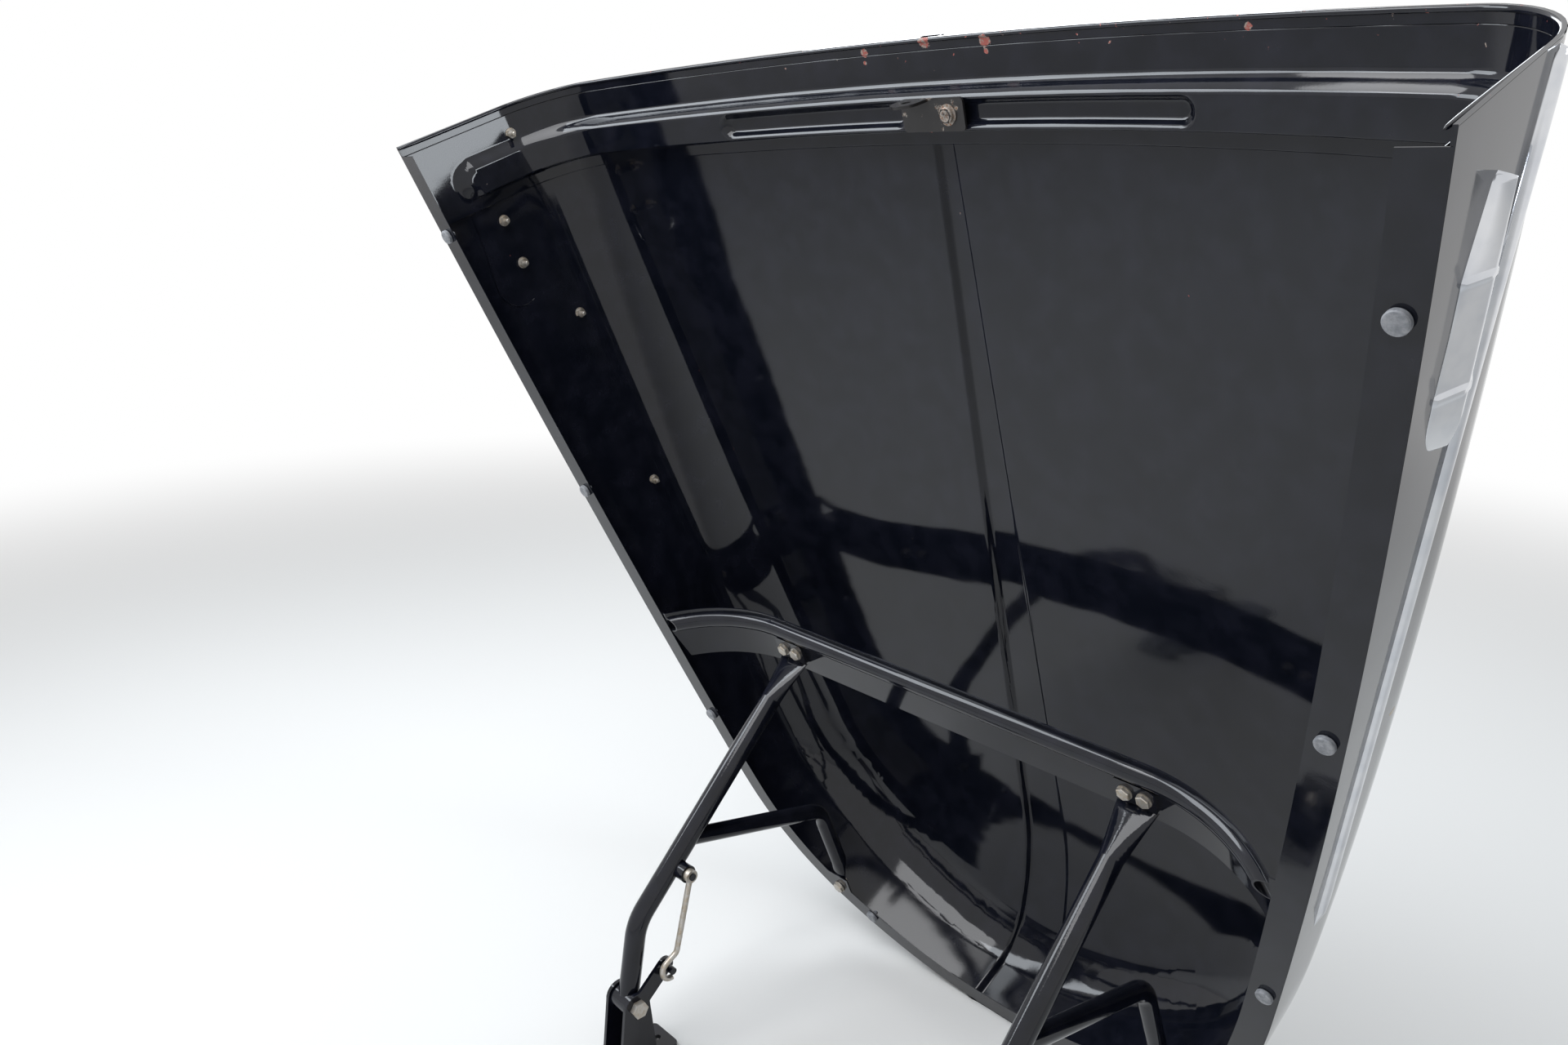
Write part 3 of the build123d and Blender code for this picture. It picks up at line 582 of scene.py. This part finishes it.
arm_x, bolt_half_pitch, brace_y, branch_y = 275.0, 12.0, 315.0, -110.0
brace_head, brace_nut, branch_head, branch_nut = 64.2, 72.4, -0.6, 6.5  # lifts off the lower edge
hexagon_head = (  # washer, its collar, the head and its chamfer
    (0, 9.4, 9.4, 0.0, 1.2), (0, 7.6, 7.6, 1.2, 1.6), (6, 8.8, 8.8, 1.6, 5.0), (6, 8.8, 7.9, 5.0, 6.0),
)
nut_and_end = (  # washer, nut and the bolt's end
    (0, 8.6, 8.6, 0.0, 1.0), (6, 7.4, 7.4, 1.0, 5.2), (0, 4.0, 4.0, 5.2, 7.4), (0, 4.0, 3.4, 7.4, 8.0),
)
for name, side in (("left", 1), ("right", -1)):
    bolts = bmesh.new()
    for x, y, head, nut in (
        (side * arm_x - bolt_half_pitch, brace_y, brace_head, brace_nut),
        (side * arm_x + bolt_half_pitch, brace_y, brace_head, brace_nut),
        (side * arm_x, branch_y, branch_head, branch_nut),
    ):
        at, up_way = edge_point(x, y, head)
        stack(bolts, at, -up_way, hexagon_head)
        at, up_way = edge_point(x, y, nut)
        stack(bolts, at, up_way, nut_and_end)
    turned(f"bolts_{name}", bolts, plated, slot="zinc", stands_for=(f"arm_bolts_{name}",))


# Flank studs
# Threaded studs of the trim come through both flanks and carry a washer and a nut inside.
# They are zinc-plated like the bolts.
def flank_point(side, y, drop, depth):
    """A place on a flank, a drop under the crown and a depth under the outer face."""
    crown, shoulder, _, flank_top = panel_shape(y)
    arc = crown + shoulder + flank_top - (crown_height - drop)
    return row(*panel_point(y, side * arc, depth))


stud_foot = 1.9
washer_nut_stud = (
    (0, 7.5, 7.5, 0.0, 1.2), (6, 6.2, 6.2, 1.2, 5.4), (0, 2.6, 2.6, 5.4, 12.0), (0, 2.6, 2.0, 12.0, 12.6),
)
for name, side in (("left", 1), ("right", -1)):
    studs = bmesh.new()
    for behind, drop in ((46.0, 150.0), (146.0, 207.0), (205.0, 204.0), (296.0, 150.0), (556.0, 140.0)):
        y = rear_reach - behind
        inward = (flank_point(side, y, drop, 3.0) - flank_point(side, y, drop, 0.0)).normalized()
        stack(studs, flank_point(side, y, drop, stud_foot), inward, washer_nut_stud)
    turned(f"studs_{name}", studs, plated, slot="zinc")


# Chrome mouldings and ornaments
# A long bright strip with a rounded section and a pointed tip on each flank, and under it a
# broad spear with a ridge along it and two raised collars, all chromium plated.
def chrome(name):
    look = Look(name)
    haze = look.noise(26.0, 3.0, 0.6)
    fine = look.noise(700.0, 2.0, 0.5)
    look.set(Base_Color=look.mix(haze.ramp(0.3, 0.8), (0.66, 0.67, 0.69, 1.0), (0.52, 0.54, 0.58, 1.0)))
    look.set(Metallic=1.0, Roughness=haze * 0.05 + 0.03, Normal=look.bump(fine, 0.06, 0.00004))
    return look.material


moulding_length, moulding_gap, moulding_half, moulding_rise, moulding_point = 770.0, 14.0, 8.0, 6.0, 46.0
moulding_drop, moulding_fall, moulding_bow, moulding_start = 150.0, 140.0, 120.0, 7.0
spear_length, spear_gap, spear_drop, spear_half, spear_rise, spear_rim = 190.0, 68.0, 222.0, 31.0, 14.0, 2.5
collars, collar_wide, collar_high = (62.0, 140.0), 6.0, 1.6
bedded = 0.6  # how far the trim's edge starts inside the sheet


def moulding_place(side):
    """The strip from its rounded start at the rear to its pointed tip, fuller than a half round."""
    blunt, fullness, edge_rise = 0.002, 0.8, 1.6

    def place(along, across):
        run = along * (moulding_length + moulding_point)
        share = min(1.0, run / moulding_length)
        drop = moulding_drop + moulding_fall * share - moulding_bow * share * share
        past = max(0.0, run - moulding_length) / moulding_point
        narrow = (1.0 - past) * math.sqrt(1.0 - max(0.0, 1.0 - run / moulding_start) ** 2) + blunt
        turn = (across - 0.5) * math.pi
        crest = moulding_rise * math.cos(turn) ** fullness if 0.0 < across < 1.0 else 0.0
        depth = bedded - (crest + bedded) * min(1.0, narrow * edge_rise)
        drop -= moulding_half * narrow * math.sin(turn)
        return flank_point(side, rear_reach - moulding_gap - run, drop, depth)

    return place


def spear_place(side):
    """The spear: its tail swells up to the first collar, and past the second comes a round nose."""

    def place(along, across):
        run = along * spear_length
        q = across * 2.0 - 1.0
        tail = min(1.0, run / collars[0])
        nose = max(0.0, (run - spear_length + spear_half) / spear_half)
        wide = spear_half * (0.30 + 0.55 * tail + 0.15 * smooth(run, 90.0, 150.0))
        wide *= math.sqrt(max(0.0, 1.0 - nose**2))
        wide *= 1.0 - 0.4 * (1.0 - tail) ** 2
        wide *= smooth(run, -1.0, 6.0)
        ridge = spear_rim + (spear_rise - spear_rim) * (1.0 - abs(q)) * (1.0 - 0.5 * nose**2)
        collar = collar_high if any(at < run < at + collar_wide for at in collars) else 0.0
        edge = smooth(1.0 - abs(q), 0.0, 0.10) * smooth(run, 0.0, 5.0) * smooth(spear_length - run, 0.0, 3.0)
        depth = bedded - (min(spear_rise - 0.4, ridge + collar) + bedded) * edge
        return flank_point(side, rear_reach - spear_gap - run, spear_drop + wide * q, depth)

    return place


bright = chrome("chrome")
for name, side in (("left", 1), ("right", -1)):
    for trim, columns, rows, place, solid in (
        ("strip", 200, 14, moulding_place(side), "moulding"),
        ("spear", 120, 48, spear_place(side), "ornament"),
    ):
        grid_piece(
            f"{trim}_{name}", columns, rows, place, bright,
            seen_from=(side * 9.0, 0.0, 0.8), slot="chrome", stands_for=(f"{solid}_{name}",),
        )


# Buffers
# Small grey rubber buttons pushed into the flanges, rounded at the rim, their stems showing
# as short pegs inside.
buffer_inset, buffer_lift = 12.0, -0.3
button = (
    (0, 8.4, 9.0, 0.0, 0.8), (0, 9.0, 9.0, 0.8, 4.2), (0, 9.0, 8.2, 4.2, 5.3), (0, 8.2, 6.4, 5.3, 5.8),
    (0, 6.4, 2.0, 5.8, 6.0),
)
stem = ((0, 3.4, 3.4, 0.0, 4.0), (0, 5.0, 4.4, 2.0, 4.4), (0, 4.4, 2.2, 4.4, 9.0))
rubber_look = Look("rubber")
bloom = rubber_look.noise(210.0, 4.0, 0.6)
grey = rubber_look.mix(bloom.ramp(0.3, 0.7), (0.16, 0.17, 0.19, 1.0), (0.30, 0.31, 0.33, 1.0))
rubber_look.set(Base_Color=grey)
rubber_look.set(Roughness=bloom * 0.2 + 0.45, Normal=rubber_look.bump(bloom, 0.2, 0.0001))
for name, side in (("left", 1), ("right", -1)):
    buttons = bmesh.new()
    for x, y in [(half_width(y) - buffer_inset, y) for y in (948.0, 568.0, 178.0)] + [(215.0, -140.0)]:
        at, up_way = edge_point(side * x, y, buffer_lift)
        stack(buttons, at, -up_way, button)
        stack(buttons, at, up_way, stem)
    turned(f"buttons_{name}", buttons, rubber_look.material, slot="rubber", stands_for=(f"buffers_{name}",))
